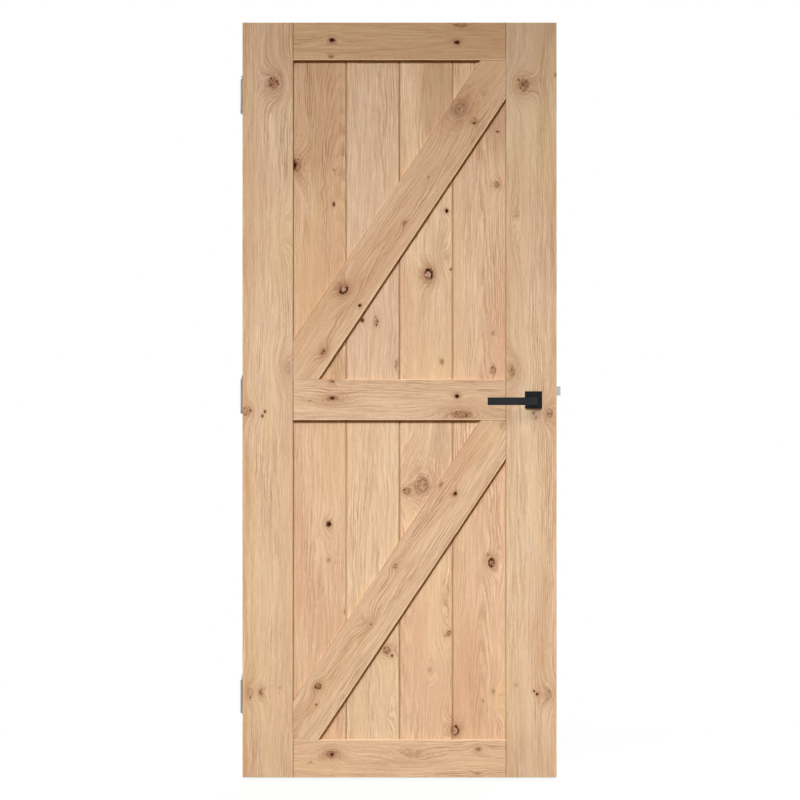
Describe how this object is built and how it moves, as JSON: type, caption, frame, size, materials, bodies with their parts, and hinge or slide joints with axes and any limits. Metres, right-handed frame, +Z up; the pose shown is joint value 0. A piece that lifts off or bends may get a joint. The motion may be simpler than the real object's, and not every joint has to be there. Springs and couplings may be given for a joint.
{
  "type": "interior door",
  "caption": "Framed and braced solid oak interior door leaf with V-jointed boards, diagonal braces, butt hinges, a mortise latch and black square lever handles.",
  "frame": {"origin": "middle of the foot of the leaf, at half its thickness", "axes": "+Z up along the leaf's height, +X from the hinge edge to the lock edge, +Y through the thickness, towards the back that carries the hinge knuckles"},
  "size_m": [0.9, 0.148, 2.115],
  "materials": {
    "oak": "knotty oak, matte oiled",
    "black": "matte black powder coat",
    "stainless": "satin",
    "zinc": "zinc plated",
    "nylon": "natural nylon"
  },
  "bodies": {
    "hinge_frame_side": {"top_hinge_frame_leaf": "stainless", "top_hinge_pin": "stainless", "middle_hinge_frame_leaf": "stainless", "middle_hinge_pin": "stainless", "bottom_hinge_frame_leaf": "stainless", "bottom_hinge_pin": "stainless", "hinge_washers": "nylon"},
    "leaf": {"hinge_stile": "oak", "lock_stile": "oak", "top_rail": "oak", "lock_rail": "oak", "bottom_rail": "oak", "upper_board_1": "oak", "upper_board_2": "oak", "upper_board_3": "oak", "upper_board_4": "oak", "lower_board_1": "oak", "lower_board_2": "oak", "lower_board_3": "oak", "lower_board_4": "oak", "upper_brace_front": "oak", "lower_brace_front": "oak", "upper_brace_back": "oak", "lower_brace_back": "oak", "top_hinge_door_leaf": "stainless", "middle_hinge_door_leaf": "stainless", "bottom_hinge_door_leaf": "stainless", "hinge_screws": "stainless", "latch_case": "zinc", "latch_cover": "zinc", "front_rose_base": "zinc", "back_rose_base": "zinc", "cover_screws": "stainless", "latch_forend": "stainless", "forend_screws": "stainless", "latch_spring": "stainless", "follower_spring": "stainless", "rose_bolts": "stainless", "front_rose": "black", "back_rose": "black", "front_bush": "nylon", "back_bush": "nylon"},
    "levers": {"front_lever": "black", "back_lever": "black", "spindle": "stainless", "grub_screws": "stainless", "follower": "zinc"},
    "latch": {"latch_bolt": "stainless"}
  },
  "joints": [
    {"name": "door_swing", "type": "hinge", "parent": "hinge_frame_side", "child": "leaf", "pos_m": [-0.4415, 0.0285, 1.0725], "axis": [0, 0, 1], "range_deg": [0, 175]},
    {"name": "lever_turn", "type": "hinge", "parent": "leaf", "child": "levers", "pos_m": [0.375, 0, 1.058], "axis": [0, -1, 0], "range_deg": [0, 40], "stiffness_Nm_per_rad": 1.2, "springref_deg": -34.38, "deforming": ["follower_spring"]},
    {"name": "latch_slide", "type": "slide", "parent": "leaf", "child": "latch", "axis": [-1, 0, 0], "range_m": [0, 0.0121], "deforming": ["latch_spring"]}
  ],
  "couplings": [
    {"joint": "latch_slide", "follows": "lever_turn", "m_per_rad": 0.017189}
  ]
}
